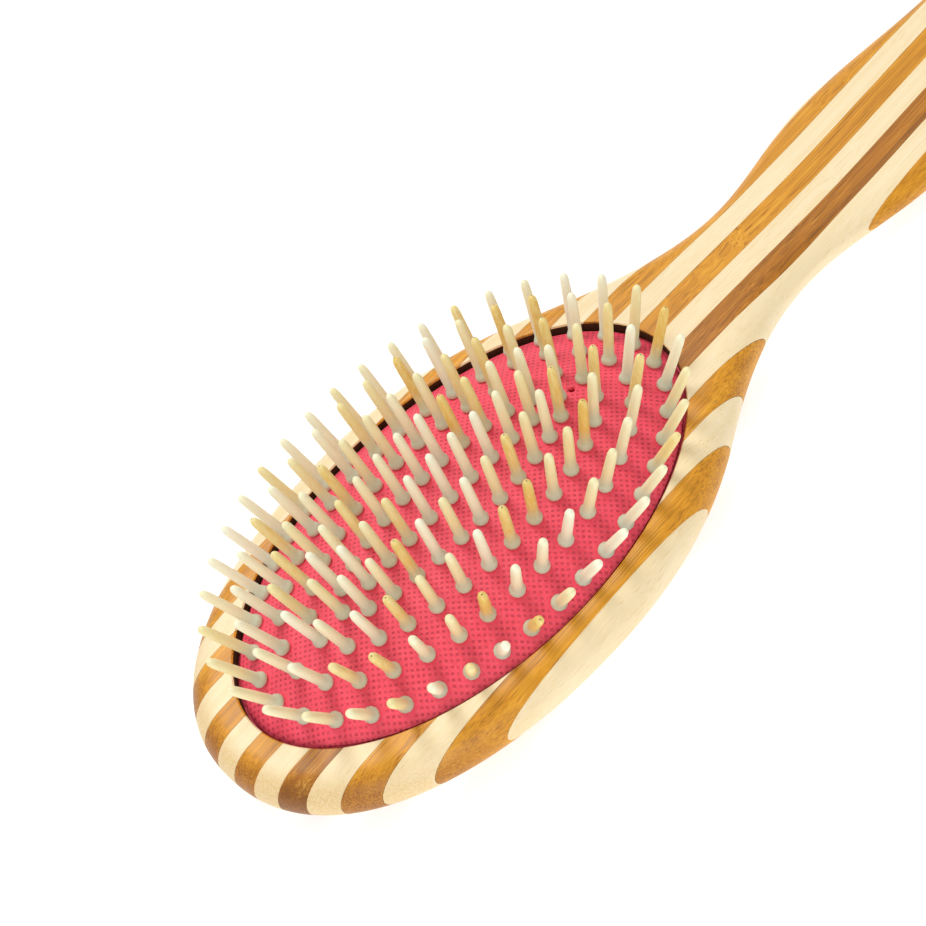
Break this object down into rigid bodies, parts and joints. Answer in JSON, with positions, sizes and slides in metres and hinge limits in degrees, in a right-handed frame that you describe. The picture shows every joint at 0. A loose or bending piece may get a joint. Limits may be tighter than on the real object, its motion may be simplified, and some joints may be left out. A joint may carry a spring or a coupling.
{
  "type": "oval cushion brush",
  "caption": "Oval hair brush with a striped bamboo board and handle, a domed rubber cushion and splayed wooden pins.",
  "frame": {"origin": "middle of the cushion, on the board's flat back", "axes": "+Y along the handle away from the head, +Z out of the bristle side, +X across the head"},
  "size_m": [0.072, 0.2389, 0.0285],
  "materials": {
    "bamboo_cream": "satin clear oil on natural bamboo",
    "bamboo_brown": "satin clear oil on carbonised bamboo",
    "bamboo_dark": "satin clear oil on darkly carbonised bamboo",
    "rubber_cushion": "matte moulded rubber with a fine square cross-hatch",
    "wooden_pins": "smooth turned wood"
  },
  "bodies": {
    "board": {"strip_01_brown": "bamboo_brown", "strip_02_cream": "bamboo_cream", "strip_03_brown": "bamboo_brown", "strip_04_cream": "bamboo_cream", "strip_05_brown": "bamboo_brown", "strip_06_cream_head": "bamboo_cream", "strip_06_cream_handle": "bamboo_cream", "strip_07_brown": "bamboo_brown", "strip_08_cream": "bamboo_cream", "strip_09_brown": "bamboo_brown", "strip_10_cream": "bamboo_cream", "strip_11_dark": "bamboo_dark", "strip_12_cream": "bamboo_cream", "strip_13_brown_head": "bamboo_brown", "strip_13_brown_handle": "bamboo_brown", "strip_14_cream": "bamboo_cream", "strip_15_brown": "bamboo_brown", "strip_16_cream": "bamboo_cream", "cushion": "rubber_cushion"},
    "ring_1": {"pins_ring_1": "wooden_pins"},
    "ring_2": {"pins_ring_2": "wooden_pins"},
    "ring_3": {"pins_ring_3": "wooden_pins"},
    "ring_4": {"pins_ring_4": "wooden_pins"},
    "centre_row": {"pins_centre_row": "wooden_pins"}
  },
  "joints": [
    {"name": "cushion_press", "type": "slide", "parent": "board", "child": "centre_row", "axis": [0, 0, -1], "range_m": [0, 0.0035], "stiffness_N_per_m": 1500, "deforming": ["cushion"]},
    {"name": "ring_4_press", "type": "slide", "parent": "board", "child": "ring_4", "axis": [0, 0, -1], "range_m": [0, 0.0035]},
    {"name": "ring_3_press", "type": "slide", "parent": "board", "child": "ring_3", "axis": [0, 0, -1], "range_m": [0, 0.003]},
    {"name": "ring_2_press", "type": "slide", "parent": "board", "child": "ring_2", "axis": [0, 0, -1], "range_m": [0, 0.0022]},
    {"name": "ring_1_press", "type": "slide", "parent": "board", "child": "ring_1", "axis": [0, 0, -1], "range_m": [0, 0.0011]}
  ],
  "couplings": [
    {"joint": "ring_4_press", "follows": "cushion_press", "ratio": 0.95},
    {"joint": "ring_3_press", "follows": "cushion_press", "ratio": 0.82},
    {"joint": "ring_2_press", "follows": "cushion_press", "ratio": 0.61},
    {"joint": "ring_1_press", "follows": "cushion_press", "ratio": 0.295}
  ]
}
